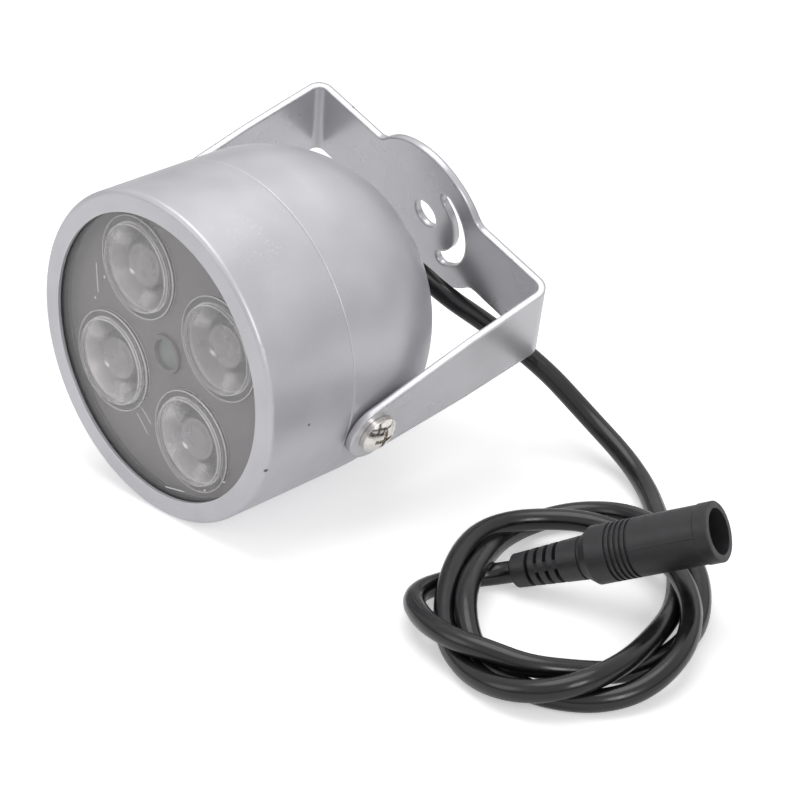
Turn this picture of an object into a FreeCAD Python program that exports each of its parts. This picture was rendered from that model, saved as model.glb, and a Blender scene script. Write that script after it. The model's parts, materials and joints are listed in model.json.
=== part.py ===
import FreeCAD, Part
import math
import os
import re
import Sketcher

Vector = FreeCAD.Vector
Rotation = FreeCAD.Rotation
Placement = FreeCAD.Placement

# Infrared illuminator: a short round lamp head in a U bracket, with a thin lead that ends in an
# inline power socket. Lengths are in millimetres and angles in degrees. The head is drawn about its
# pivot: X runs along the pivot screws, Y towards the back and Z up. The finished part lies on the
# side wall of its housing, rolled about Y, as it was put down.
SIZES = {
    "roll": 21.87,
    "tilt": 15.6,
    "housing_r": 28.0,
    "front_reach": 22.7,
    "seam_reach": 5.1,
    "front_wall": 2.0,
    "lip_width": 3.6,
    "lip_depth": 0.6,
    "edge_r": 0.9,
    "seam_bevel": 0.15,
    "dome_inset": 3.5,
    "dome_centre": 2.0,
    "dome_wall": 2.0,
    "spigot_gap": 0.12,
    "spigot_wall": 1.98,
    "groove_width": 1.5,
    "groove_depth": 1.0,
    "seal_gap": 0.05,
    "glass_depth": 1.1,
    "ring_gap": 0.2,
    "gasket_depth": 1.8,
    "ring_width": 1.3,
    "mask_depth": 1.0,
    "spacer_depth": 4.2,
    "board_depth": 1.6,
    "lens_edge_gap": 1.1,
    "lens_spacing": 3.2,
    "lens_gap": 0.2,
    "flange_width": 1.3,
    "flange_depth": 0.7,
    "lens_rise": 1.3,
    "lens_cap": 0.4,
    "lens_foot_r": 4.6,
    "lens_pocket_r": 3.4,
    "lens_pocket": 2.2,
    "cup_gap": 0.1,
    "cup_wall": 0.5,
    "chip_side": 4.4,
    "chip_depth": 1.4,
    "chip_window_r": 1.6,
    "chip_window_rise": 0.4,
    "sensor_r": 2.5,
    "sensor_depth": 2.0,
    "sensor_recess": 0.3,
    "sensor_leg_r": 0.3,
    "sensor_leg_pitch": 3.0,
    "collar_wall": 0.7,
    "collar_stand": 0.5,
    "sink_gap": 0.15,
    "sink_depth": 3.0,
    "driver_gap": 6.9,
    "driver_depth": 1.6,
    "post_inset": 3.0,
    "post_r": 2.2,
    "post_length": 10.4,
    "screw_hole_gap": 0.1,
    "thread_gap": 0.02,
    "small_screw_r": 1.0,
    "small_head_r": 2.0,
    "small_head_depth": 1.3,
    "small_screw_reach": 4.0,
    "small_slot_width": 0.5,
    "coil_can_r": 4.0,
    "coil_can_depth": 5.0,
    "capacitor_r": 3.0,
    "capacitor_depth": 8.0,
    "driver_chip_side": 5.0,
    "driver_chip_depth": 1.5,
    "part_inset": 7.5,
    "wire_r": 0.6,
    "wire_pitch": 2.4,
    "wire_inset": 1.8,
    "conductor_place": 0.9,
    "cable_r": 1.75,
    "cable_hole_r": 2.6,
    "cable_inner": 13.0,
    "grommet_flange_r": 3.3,
    "grommet_flange_depth": 1.2,
    "tie_wall": 1.4,
    "tie_depth": 2.5,
    "bracket_gap": 0.4,
    "swing_gap": 0.1543,
    "sheet": 1.2,
    "bend_r": 2.8,
    "arm_tip_r": 5.3,
    "arm_knee": 20.0,
    "arm_knee_half": 7.25,
    "band_half": 7.8,
    "lobe_r": 14.5,
    "lobe_fillet": 2.6,
    "web_hole_r": 2.65,
    "slot_circle_r": 8.7,
    "slot_half_width": 1.45,
    "slot_half_angle": 57.0,
    "pivot_r": 1.5,
    "pivot_gap": 0.06,
    "pivot_length": 7.6,
    "pivot_head_r": 3.4,
    "pivot_head_rim": 0.9,
    "pivot_head_rise": 1.3,
    "seat_gap": 0.05,
    "cross_width": 0.8,
    "cross_length": 3.6,
    "cross_depth": 1.2,
    "plug_pitch_angle": 23.6,
    "plug_turn": 23.8,
    "plug_roll": 21.0,
    "plug_x": 57.0,
    "plug_y": 1.7,
    "plug_z": 3.0,
    "plug_length": 34.8,
    "plug_lead_in": 3.0,
    "plug_r": 4.6,
    "plug_ring_r": 4.72,
    "plug_neck_r": 3.5,
    "neck_end": 12.7,
    "shoulder": 1.6,
    "end_ring": 2.4,
    "mouth_r": 3.6,
    "mouth_depth": 14.5,
    "insert_r": 2.85,
    "insert_back": 4.5,
    "insert_depth": 9.0,
    "pin_r": 1.05,
    "pin_back": 6.3,
    "contact_wall": 0.2,
    "contact_depth": 4.0,
    "relief_end_r": 2.7,
    "relief_bevel": 0.3,
    "relief_start": 2.9,
    "relief_pitch": 1.7,
    "relief_gap": 0.65,
    "relief_depth": 0.7,
    "spine_half": 0.7,
    "spine_inset": 0.1,
    "neck_line": 12.2,
    "neck_line_width": 0.3,
    "neck_line_depth": 0.25,
    "rib_start": 17.5,
    "rib_pitch": 0.88,
    "rib_gap": 0.42,
    "rib_depth": 0.3,
    "coil_x": 69.5,
    "coil_y": 2.0,
    "coil_long": 27.2,
    "coil_wide": 17.5,
    "coil_turn": -51.7,
    "coil_half_width": 4.4,
    "coil_height": 7.3,
    "coil_edge_r": 2.6,
}

# Sizes that follow from others. The rear shell's spigot reaches the back of the lens board. The four
# lenses fill the plate: their flanges keep one gap to the ring round the plate and another to each
# other. The bracket's arms stand a gap off the housing, and its web passes the housing's front
# corner by a gap when the lamp is turned.
DERIVED = {
    "stack_depth": "lip_depth + glass_depth + gasket_depth + mask_depth + spacer_depth + board_depth",
    "spigot_depth": "front_reach - seam_reach - stack_depth",
    "lip_bore_r": "housing_r - lip_width",
    "dome_r": "housing_r - dome_inset",
    "cavity_r": "housing_r - front_wall - spigot_gap - spigot_wall",
    "lens_field_r": "housing_r - front_wall - ring_gap - ring_width - lens_edge_gap",
    "flange_r": "(sqrt(2) * lens_field_r - lens_spacing) / (2 + sqrt(2))",
    "lens_r": "flange_r - flange_width",
    "lens_pitch": "2 * flange_r + lens_spacing",
    "driver_r": "cavity_r - driver_gap",
    "post_circle_r": "driver_r - post_inset",
    "wire_place": "driver_r - wire_inset",
    "part_circle_r": "driver_r - part_inset",
    "bracket_half": "housing_r + bracket_gap + sheet",
    "bracket_reach": "sqrt(front_reach ^ 2 + housing_r ^ 2) + swing_gap + sheet",
}

# How many grooves the socket has in its strain relief and in its grip.
RELIEF_GROOVES = 4
GRIP_GROOVES = 5

# How much of the shorter run each bend of the cord takes up.
RUN_SHARE = 0.45

# The slot's round ends are drawn this much over their half width, so that their centres are fixed.
ROUND_END = "1.0001"

# Route of the lead from the grommet to the coil: distances from the pivot, height from the floor.
LEAD_ROUTE = (
    (0.0, 27.7, 28.0),
    (0.0, 30.0, 28.0),
    (0.95, 32.1, 27.65),
    (2.9, 33.5, 26.8),
    (6.7, 33.8, 25.0),
    (10.7, 34.8, 22.9),
    (14.5, 36.8, 20.5),
    (18.6, 38.8, 17.8),
    (23.4, 40.0, 15.3),
    (28.2, 41.0, 12.5),
    (32.8, 41.7, 9.3),
    (37.8, 42.0, 6.3),
    (43.4, 41.4, 4.1),
    (49.1, 39.5, 2.6),
    (54.5, 36.4, 1.9),
    (59.5, 32.4, 1.8),
    (63.6, 27.8, 1.8),
)

# Route of the end of the lead, which leaves the coil, turns back on itself and enters the socket.
TAIL_ROUTE = (
    (72.0, -22.3, 5.4),
    (66.2, -22.5, 5.4),
    (60.8, -21.3, 4.9),
    (56.0, -18.6, 3.8),
    (52.4, -14.9, 2.7),
    (50.4, -10.9, 1.9),
    (50.1, -6.8, 1.8),
    (51.4, -3.0, 1.8),
)

doc = FreeCAD.newDocument("illuminator")
sheet = doc.addObject("Spreadsheet::Sheet", "Sizes")
for row, (alias, number) in enumerate(SIZES.items(), start=1):
    sheet.set(f"A{row}", str(number))
    sheet.setAlias(f"A{row}", alias)
for row, (alias, formula) in enumerate(DERIVED.items(), start=1):
    sheet.set(f"B{row}", "=" + formula)
    sheet.setAlias(f"B{row}", alias)
doc.recompute()

# Places along the lamp's axis, from the front, as formulas of the sizes.
GLASS_FRONT = "(-front_reach + lip_depth)"
GLASS_BACK = f"({GLASS_FRONT} + glass_depth)"
MASK_FRONT = f"({GLASS_BACK} + gasket_depth)"
MASK_BACK = f"({MASK_FRONT} + mask_depth)"
BOARD_FRONT = f"({MASK_BACK} + spacer_depth)"
BOARD_BACK = f"({BOARD_FRONT} + board_depth)"
SINK_BACK = f"({BOARD_BACK} + sink_depth)"
POST_BACK = f"({SINK_BACK} + post_length)"
DRIVER_BACK = f"({POST_BACK} + driver_depth)"
DOME_REAR = "(dome_centre + dome_r)"
DOME_FLAT = "(housing_r - dome_r)"
WALL_INSIDE = f"({DOME_REAR} - dome_wall)"
GROMMET_REAR = f"({DOME_REAR} + grommet_flange_depth)"
BORE_R = "(housing_r - front_wall)"
SPIGOT_R = f"({BORE_R} - spigot_gap)"
STACK_R = f"({BORE_R} - ring_gap)"
COLLAR_R = "(sensor_r + screw_hole_gap + collar_wall)"

# Where the pivot screws' heads sit along X, and the radius of their domed crowns.
SCREW_SEAT = "(bracket_half + seat_gap)"
CROWN_R = "((pivot_head_r ^ 2 + pivot_head_rise ^ 2) / (2 * pivot_head_rise))"


def value(formula):
    """The number that a formula of sizes gives."""
    return float(sheet.evalExpression(formula))


def bound(formula):
    """The formula with each size read from the sheet, for use in another object."""
    def from_sheet(word):
        known = word[0] in SIZES or word[0] in DERIVED
        return "Sizes." + word[0] if known else word[0]
    return re.sub(r"[a-z_]\w*", from_sheet, formula)


def bind(piece, **formulas):
    """Ties properties of an object to formulas of sizes."""
    for name, formula in formulas.items():
        piece.setExpression(name, bound(formula))


def new_body(label):
    body = doc.addObject("PartDesign::Body", label)
    body.Label = label
    return body


def new_sketch(body, role):
    """A sketch on one of the body's own origin planes."""
    sketch = body.newObject("Sketcher::SketchObject", body.Name + "_sketch")
    plane = next(item for item in body.Origin.OriginFeatures if item.Role == role)
    sketch.AttachmentSupport = [(plane, "")]
    sketch.MapMode = "FlatFace"
    return sketch


def pin_point(sketch, geometry, end, across, along):
    """Ties one end of a sketch line or the centre of a circle to two formulas."""
    for kind, formula in (("DistanceX", across), ("DistanceY", along)):
        rule = Sketcher.Constraint(kind, -1, 1, geometry, end, value(formula))
        index = sketch.addConstraint(rule)
        sketch.setExpression(f"Constraints[{index}]", bound(formula))


def arc_between(start, end, radius):
    """The shorter arc from start to end; a positive radius turns it anticlockwise."""
    chord = end - start
    middle = (start + end) * 0.5
    offset = math.sqrt(max(radius * radius - chord.Length * chord.Length / 4, 0))
    side = Vector(-chord.y, chord.x, 0).normalize() * math.copysign(offset, radius)
    centre = middle + side
    first, last = (start, end) if radius > 0 else (end, start)
    angles = [math.atan2(point.y - centre.y, point.x - centre.x) for point in (first, last)]
    circle = Part.Circle(centre, Vector(0, 0, 1), abs(radius))
    return Part.ArcOfCircle(circle, angles[0], angles[1])


def outline(sketch, corners):
    """A closed outline. A corner is (across, along), and a third entry makes the edge that
    leaves it an arc of that radius, anticlockwise where it is positive."""
    points = [Vector(value(corner[0]), value(corner[1]), 0) for corner in corners]
    edges = []
    for number, corner in enumerate(corners):
        start = points[number]
        end = points[(number + 1) % len(points)]
        if len(corner) == 2:
            edge = sketch.addGeometry(Part.LineSegment(start, end))
            edges.append((edge, 1, 2))
            continue
        radius = value(corner[2])
        edge = sketch.addGeometry(arc_between(start, end, radius))
        rule = sketch.addConstraint(Sketcher.Constraint("Radius", edge, abs(radius)))
        sketch.setExpression(f"Constraints[{rule}]", "abs(" + bound(corner[2]) + ")")
        edges.append((edge, 1, 2) if radius > 0 else (edge, 2, 1))
    for number, corner in enumerate(corners):
        edge, first, last = edges[number]
        following, next_first, next_last = edges[(number + 1) % len(edges)]
        sketch.addConstraint(Sketcher.Constraint("Coincident", edge, last, following, next_first))
        pin_point(sketch, edge, first, corner[0], corner[1])


def circle(sketch, across, along, radius):
    """A circle whose centre and radius are formulas."""
    centre = Vector(value(across), value(along), 0)
    ring = sketch.addGeometry(Part.Circle(centre, Vector(0, 0, 1), value(radius)))
    rule = sketch.addConstraint(Sketcher.Constraint("Radius", ring, value(radius)))
    sketch.setExpression(f"Constraints[{rule}]", bound(radius))
    pin_point(sketch, ring, 3, across, along)


def turned(label, corners):
    """A body turned about Y from an outline of (radius, place along Y) corners."""
    body = new_body(label)
    sketch = new_sketch(body, "XY_Plane")
    outline(sketch, corners)
    turn = body.newObject("PartDesign::Revolution", label + "_turn")
    turn.Profile = sketch
    turn.ReferenceAxis = (sketch, ["V_Axis"])
    turn.Angle = 360
    sketch.Visibility = False
    return body


def ring(label, inner, outer, front, back):
    """A plain turned ring, or a disc where the inner radius is 0."""
    return turned(label, [(inner, front), (outer, front), (outer, back), (inner, back)])


def cut_through(body, role, draw, reach):
    """Cuts what draw(sketch) outlines on an origin plane right through the body, both ways."""
    sketch = new_sketch(body, role)
    draw(sketch)
    pocket = body.newObject("PartDesign::Pocket", body.Name + "_pocket")
    pocket.Profile = sketch
    pocket.SideType = "Symmetric"
    bind(pocket, Length=reach)
    sketch.Visibility = False
    return pocket


def draw_hole(radius):
    """Draws one round hole in the middle of a sketch."""
    return lambda sketch: circle(sketch, "0", "0", radius)


def drilled(body, places, radius):
    """Round holes along Y at (x, z) places."""
    def draw(sketch):
        for across, up in places:
            circle(sketch, across, up, radius)
    return cut_through(body, "XZ_Plane", draw, "4 * housing_r")


def rod(label, radius, front, back, across="0", up="0"):
    """A round rod along Y."""
    piece = doc.addObject("Part::Cylinder", label)
    bind(piece, Radius=radius, Height=f"{back} - {front}")
    centre = Vector(value(across), value(front), value(up))
    piece.Placement = Placement(centre, Rotation(Vector(1, 0, 0), -90))
    return piece


def block(label, width, depth, height, front, across="0", up="0"):
    """A box centred on (across, up) whose front face is at the given place along Y."""
    piece = doc.addObject("Part::Box", label)
    bind(piece, Length=width, Width=depth, Height=height)
    corner_x = value(f"{across} - ({width}) / 2")
    corner_z = value(f"{up} - ({height}) / 2")
    piece.Placement = Placement(Vector(corner_x, value(front), corner_z), Rotation())
    return piece


def joined(label, pieces):
    piece = doc.addObject("Part::MultiFuse", label)
    piece.Shapes = pieces
    return piece


def less(label, base, tool):
    piece = doc.addObject("Part::Cut", label)
    piece.Base = base
    piece.Tool = tool
    return piece


def group(label, pieces):
    """Several like solids that share one name."""
    piece = doc.addObject("Part::Compound", label)
    piece.Links = pieces
    return piece


def front_shell():
    return turned("front_shell", [
        ("lip_bore_r", "-front_reach"),
        ("housing_r - edge_r", "-front_reach", "edge_r"),
        ("housing_r", "-front_reach + edge_r"),
        ("housing_r", "-seam_reach - seam_bevel"),
        ("housing_r - seam_bevel", "-seam_reach"),
        (BORE_R, "-seam_reach"),
        (BORE_R, GLASS_FRONT),
        ("lip_bore_r", GLASS_FRONT),
    ])


def rear_shell():
    inner_r = "(dome_r - dome_wall)"
    cavity_end = f"(dome_centre + sqrt({inner_r} ^ 2 - (cavity_r - {DOME_FLAT}) ^ 2))"
    body = turned("rear_shell", [
        ("cable_hole_r", WALL_INSIDE),
        ("cable_hole_r", DOME_REAR),
        (DOME_FLAT, DOME_REAR, "-dome_r"),
        ("housing_r", "dome_centre"),
        ("housing_r", "-seam_reach + seam_bevel"),
        ("housing_r - seam_bevel", "-seam_reach"),
        (f"{SPIGOT_R} - groove_depth", "-seam_reach"),
        (f"{SPIGOT_R} - groove_depth", "-seam_reach - groove_width"),
        (SPIGOT_R, "-seam_reach - groove_width"),
        (SPIGOT_R, "-seam_reach - spigot_depth"),
        ("cavity_r", "-seam_reach - spigot_depth"),
        ("cavity_r", cavity_end, inner_r),
        (DOME_FLAT, WALL_INSIDE),
    ])
    cut_through(body, "YZ_Plane", draw_hole("pivot_r + thread_gap"), "4 * housing_r")
    return body


def shell_seal():
    """The round rubber ring in the groove under the seam."""
    piece = doc.addObject("Part::Torus", "shell_seal")
    section = "(groove_depth + spigot_gap) / 2"
    bind(piece, Radius1=f"{BORE_R} - {section}", Radius2=f"{section} - seal_gap")
    middle = Vector(0, value("-seam_reach - groove_width / 2"), 0)
    piece.Placement = Placement(middle, Rotation(Vector(1, 0, 0), 90))
    return piece


def lens_places():
    half = "lens_pitch / 2"
    return [(f"-{half}", half), (f"-{half}", f"-{half}"), (half, half), (half, f"-{half}")]


def lens_mask():
    """The dark plate behind the glass, with a round hole for each lens and for the sensor."""
    body = ring("lens_mask", "0", STACK_R, MASK_FRONT, MASK_BACK)
    drilled(body, lens_places(), "lens_r + lens_gap")
    drilled(body, [("0", "0")], f"{COLLAR_R} + screw_hole_gap")
    return body


def lens(number):
    """A clear lens: a cone that stands over its emitter, a flange on the mask and a domed face."""
    rim = f"({MASK_FRONT} - lens_rise)"
    return turned(f"lens_{number}", [
        ("0", f"{BOARD_FRONT} - lens_pocket"),
        ("lens_pocket_r", f"{BOARD_FRONT} - lens_pocket"),
        ("lens_pocket_r", BOARD_FRONT),
        ("lens_foot_r", BOARD_FRONT),
        ("lens_r", MASK_BACK),
        ("lens_r", MASK_FRONT),
        ("flange_r", MASK_FRONT),
        ("flange_r", f"{MASK_FRONT} - flange_depth"),
        ("lens_r", f"{MASK_FRONT} - flange_depth"),
        ("lens_r", rim, "-(lens_r ^ 2 + lens_cap ^ 2) / (2 * lens_cap)"),
        ("0", f"{rim} - lens_cap"),
    ])


def lens_cup(number):
    """The pale holder round the cone of a lens, which stands on the board and bears the plate."""
    return turned(f"lens_cup_{number}", [
        ("lens_foot_r + cup_gap", BOARD_FRONT),
        ("lens_foot_r + cup_gap + cup_wall", BOARD_FRONT),
        ("lens_r + cup_gap + cup_wall", MASK_BACK),
        ("lens_r + cup_gap", MASK_BACK),
    ])


def emitter(number):
    """An infrared chip carrier with its round clear window."""
    carrier = block(f"emitter_{number}_carrier", "chip_side", "chip_depth", "chip_side",
                    f"{BOARD_FRONT} - chip_depth")
    window = rod(f"emitter_{number}_window", "chip_window_r",
                 f"({BOARD_FRONT} - chip_depth - chip_window_rise)", f"({BOARD_FRONT} - chip_depth / 2)")
    return joined(f"emitter_{number}", [carrier, window])


def sensor_collar():
    return ring("sensor_collar", "sensor_r + screw_hole_gap", COLLAR_R,
                f"{MASK_FRONT} - collar_stand", BOARD_FRONT)


def light_sensor():
    """The round light-dependent resistor on its two legs."""
    front = f"({MASK_FRONT} + sensor_recess)"
    disc = rod("sensor_disc", "sensor_r", front, f"({front} + sensor_depth)")
    legs = [
        rod(f"sensor_leg_{side}", "sensor_leg_r", f"({front} + sensor_depth / 2)", BOARD_FRONT,
            f"{side} * sensor_leg_pitch / 2")
        for side in (-1, 1)
    ]
    return joined("light_sensor", [disc] + legs)


def wire_places():
    return [("-wire_pitch / 2", "wire_place"), ("wire_pitch / 2", "wire_place")]


def heat_sink():
    body = ring("heat_sink", "0", "cavity_r - sink_gap", BOARD_BACK, SINK_BACK)
    drilled(body, wire_places(), "wire_r + sink_gap")
    return body


def post_places():
    """Three places on a circle, as (x, z) formulas."""
    return [(f"post_circle_r * cos({angle})", f"post_circle_r * sin({angle})") for angle in (30, 150, 270)]


def board_posts():
    posts = []
    for number, (across, up) in enumerate(post_places(), start=1):
        post = rod(f"post_{number}_rod", "post_r", SINK_BACK, POST_BACK, across, up)
        thread = rod(f"post_{number}_thread", "small_screw_r + thread_gap",
                     f"({POST_BACK} - small_screw_reach - seat_gap)", f"({POST_BACK} + 1)", across, up)
        posts.append(less(f"post_{number}", post, thread))
    return group("board_posts", posts)


def driver_board():
    body = ring("driver_board", "0", "driver_r", POST_BACK, DRIVER_BACK)
    drilled(body, post_places(), "small_screw_r + screw_hole_gap")
    return body


def board_screws():
    screws = []
    for number, (across, up) in enumerate(post_places(), start=1):
        shank = rod(f"screw_{number}_shank", "small_screw_r", f"({POST_BACK} - small_screw_reach)",
                    f"({DRIVER_BACK} + small_head_depth / 2)", across, up)
        head = rod(f"screw_{number}_head", "small_head_r", DRIVER_BACK,
                   f"({DRIVER_BACK} + small_head_depth)", across, up)
        slot = block(f"screw_{number}_slot", "2 * small_head_r", "small_head_depth", "small_slot_width",
                     f"({DRIVER_BACK} + small_head_depth / 2)", across, up)
        screws.append(less(f"screw_{number}", joined(f"screw_{number}_blank", [shank, head]), slot))
    return group("board_screws", screws)


def driver_inductor():
    return rod("driver_inductor", "coil_can_r", DRIVER_BACK, f"({DRIVER_BACK} + coil_can_depth)",
               "0", "part_circle_r")


def driver_capacitor():
    return rod("driver_capacitor", "capacitor_r", DRIVER_BACK, f"({DRIVER_BACK} + capacitor_depth)",
               "part_circle_r * cos(210)", "part_circle_r * sin(210)")


def driver_chip():
    return block("driver_chip", "driver_chip_side", "driver_chip_depth", "driver_chip_side",
                 DRIVER_BACK, "part_circle_r * cos(330)", "part_circle_r * sin(330)")


def wires(label, front, back, places):
    rods = [
        rod(f"{label}_{number}", "wire_r", front, back, across, up)
        for number, (across, up) in enumerate(places, start=1)
    ]
    return group(label, rods)


def conductor_places():
    return [("-conductor_place", "0"), ("conductor_place", "0")]


def cable_inside():
    """The last stretch of the lead, inside the lamp, up to where its jacket is stripped."""
    return rod("cable_inside", "cable_r", "cable_inner", GROMMET_REAR)


def cable_grommet():
    inner_face = f"({WALL_INSIDE} - grommet_flange_depth)"
    return turned("cable_grommet", [
        ("cable_r + seat_gap", inner_face),
        ("grommet_flange_r", inner_face),
        ("grommet_flange_r", WALL_INSIDE),
        ("cable_hole_r - seat_gap", WALL_INSIDE),
        ("cable_hole_r - seat_gap", DOME_REAR),
        ("grommet_flange_r", DOME_REAR),
        ("grommet_flange_r", f"{GROMMET_REAR} - seam_bevel"),
        ("grommet_flange_r - seam_bevel", GROMMET_REAR),
        ("cable_r + seat_gap", GROMMET_REAR),
    ])


def cable_tie():
    back = f"({WALL_INSIDE} - grommet_flange_depth)"
    return ring("cable_tie", "cable_r + seat_gap", "cable_r + tie_wall", f"{back} - tie_depth", back)


def pivot_screw(label, side):
    """A pan head screw along X with a cross recess; side is 1 or -1."""
    body = turned(label + "_blank", [
        ("0", f"{SCREW_SEAT} - pivot_length"),
        ("pivot_r", f"{SCREW_SEAT} - pivot_length"),
        ("pivot_r", SCREW_SEAT),
        ("pivot_head_r", SCREW_SEAT),
        ("pivot_head_r", f"{SCREW_SEAT} + pivot_head_rim", CROWN_R),
        ("0", f"{SCREW_SEAT} + pivot_head_rim + pivot_head_rise"),
    ])
    top = f"({SCREW_SEAT} + pivot_head_rim + pivot_head_rise)"
    cross = []
    for width, height in (("cross_length", "cross_width"), ("cross_width", "cross_length")):
        cross.append(block(label + "_slot", width, "cross_depth + 1", height, f"{top} - cross_depth"))
    screw = less(label, body, joined(label + "_cross", cross))
    screw.Placement = Placement(Vector(0, 0, 0), Rotation(Vector(0, 0, 1), -90 * side))
    return screw


def bracket():
    """A folded steel U with a round lobe in the middle of its web."""
    body = new_body("bracket")
    strip = new_sketch(body, "XY_Plane")
    inner = "(bracket_half - sheet)"
    outline(strip, [
        ("bracket_half", "-arm_tip_r"),
        ("bracket_half", "bracket_reach - bend_r", "bend_r"),
        ("bracket_half - bend_r", "bracket_reach"),
        ("-bracket_half + bend_r", "bracket_reach", "bend_r"),
        ("-bracket_half", "bracket_reach - bend_r"),
        ("-bracket_half", "-arm_tip_r"),
        (f"-{inner}", "-arm_tip_r"),
        (f"-{inner}", "bracket_reach - bend_r", "-(bend_r - sheet)"),
        ("-bracket_half + bend_r", "bracket_reach - sheet"),
        ("bracket_half - bend_r", "bracket_reach - sheet", "-(bend_r - sheet)"),
        (inner, "bracket_reach - bend_r"),
        (inner, "-arm_tip_r"),
    ])
    pad = body.newObject("PartDesign::Pad", "bracket_strip")
    pad.Profile = strip
    pad.SideType = "Symmetric"
    bind(pad, Length="2 * lobe_r + 2")
    doc.recompute()
    cut_through(body, "YZ_Plane", trim_arms, "4 * bracket_half")
    cut_through(body, "XZ_Plane", trim_web, "4 * bracket_reach")
    cut_through(body, "XZ_Plane", cut_arc_slot, "4 * bracket_reach")
    cut_through(body, "XZ_Plane", draw_hole("web_hole_r"), "4 * bracket_reach")
    cut_through(body, "YZ_Plane", draw_hole("pivot_r + pivot_gap"), "4 * bracket_half")
    return body


def trim_arms(sketch):
    """What is cut away round the two arms, seen along X."""
    far = "(lobe_r + 2)"
    root = "(bracket_reach - bend_r)"
    outline(sketch, [
        ("-arm_tip_r - 2", f"-{far}"),
        (root, f"-{far}"),
        (root, "-band_half"),
        ("arm_knee", "-arm_knee_half"),
        ("0", "-arm_tip_r", "-arm_tip_r"),
        ("-arm_tip_r", "0", "-arm_tip_r"),
        ("0", "arm_tip_r"),
        ("arm_knee", "arm_knee_half"),
        (root, "band_half"),
        (root, far),
        ("-arm_tip_r - 2", far),
    ])


def trim_web(sketch):
    """What is cut away above and below the web and its round lobe, seen along Y."""
    far = "(lobe_r + 2)"
    side = "(bracket_half + 2)"
    foot = "sqrt((lobe_r + lobe_fillet) ^ 2 - (band_half + lobe_fillet) ^ 2)"
    touch_x = f"({foot} * lobe_r / (lobe_r + lobe_fillet))"
    touch_z = "((band_half + lobe_fillet) * lobe_r / (lobe_r + lobe_fillet))"
    outline(sketch, [
        (f"-{side}", "band_half"),
        (f"-{foot}", "band_half", "lobe_fillet"),
        (f"-{touch_x}", touch_z, "-lobe_r"),
        ("0", "lobe_r", "-lobe_r"),
        (touch_x, touch_z, "lobe_fillet"),
        (foot, "band_half"),
        (side, "band_half"),
        (side, far),
        (f"-{side}", far),
    ])
    outline(sketch, [
        (f"-{side}", "-band_half"),
        (f"-{foot}", "-band_half", "-lobe_fillet"),
        (f"-{touch_x}", f"-{touch_z}", "lobe_r"),
        ("0", "-lobe_r", "lobe_r"),
        (touch_x, f"-{touch_z}", "-lobe_fillet"),
        (foot, "-band_half"),
        (side, "-band_half"),
        (side, f"-{far}"),
        (f"-{side}", f"-{far}"),
    ])


def cut_arc_slot(sketch):
    """The curved slot beside the middle hole, on one side only."""
    outer = "(slot_circle_r + slot_half_width)"
    inner = "(slot_circle_r - slot_half_width)"
    end_x = "cos(slot_half_angle)"
    end_z = "sin(slot_half_angle)"
    outline(sketch, [
        (f"{outer} * {end_x}", f"-{outer} * {end_z}", outer),
        (outer, "0", outer),
        (f"{outer} * {end_x}", f"{outer} * {end_z}", f"slot_half_width * {ROUND_END}"),
        (f"{inner} * {end_x}", f"{inner} * {end_z}", f"-{inner}"),
        (inner, "0", f"-{inner}"),
        (f"{inner} * {end_x}", f"-{inner} * {end_z}", f"slot_half_width * {ROUND_END}"),
    ])


def rounded_path(route):
    """Straight runs joined by arcs that touch both: the wire and the radius of each arc."""
    points = [Vector(*place) for place in route]
    edges = []
    radii = []
    start = points[0]
    for before, corner, after in zip(points, points[1:], points[2:]):
        back = (before - corner).normalize()
        ahead = (after - corner).normalize()
        half_turn = (math.pi - back.getAngle(ahead)) / 2
        reach = RUN_SHARE * min((before - corner).Length, (after - corner).Length)
        enter = corner + back * reach
        leave = corner + ahead * reach
        radius = reach / math.tan(half_turn)
        bisector = (back + ahead).normalize()
        depth = radius / math.cos(half_turn) - radius
        edges.append(Part.LineSegment(start, enter).toShape())
        edges.append(Part.Arc(enter, corner + bisector * depth, leave).toShape())
        radii.append(radius)
        start = leave
    edges.append(Part.LineSegment(start, points[-1]).toShape())
    return Part.Wire(edges), radii


def tube(route, radius):
    """A round cord along a route; its volume is compared with its section times its length."""
    path, radii = rounded_path(route)
    start = Vector(*route[0])
    heading = Vector(*route[1]) - start
    section = Part.Wire([Part.Circle(start, heading, radius).toShape()])
    solid = path.makePipeShell([section], True, False)
    expected = math.pi * radius ** 2 * path.Length
    print(f"cord length {path.Length:.1f}, smallest bend radius {min(radii):.1f}, "
          f"volume ratio {solid.Volume / expected:.4f}")
    return solid


def shape_feature(label, shape):
    piece = doc.addObject("Part::Feature", label)
    piece.Shape = shape
    return piece


def plug_placement():
    """Where the socket lies: its own Y axis runs from the lead to its mouth."""
    turn = Rotation(Vector(0, 0, 1), value("plug_turn") - 90)
    pitch = Rotation(Vector(1, 0, 0), value("plug_pitch_angle"))
    roll = Rotation(Vector(0, 1, 0), -value("plug_roll"))
    return Placement(Vector(value("plug_x"), value("plug_y"), value("plug_z")), turn * pitch * roll)


def plug_points():
    """The two points at which the lead runs straight into the socket."""
    place = plug_placement()
    ahead = place.Rotation.multVec(Vector(0, 1, 0))
    end = place.Base
    return [tuple(end - ahead * value("plug_lead_in")), tuple(end)]


def lead_route():
    """The lead's points. They follow the grommet where the lamp changes size, the last not at all."""
    shift = Vector(0, value(GROMMET_REAR), value("housing_r")) - Vector(*LEAD_ROUTE[0])
    bends = len(LEAD_ROUTE) - 2
    return [
        tuple(Vector(*place) + shift * (1 - max(number - 1, 0) / bends))
        for number, place in enumerate(LEAD_ROUTE)
    ]


def cord_lead():
    return shape_feature("cord_lead", tube(lead_route(), value("cable_r")))


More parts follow.
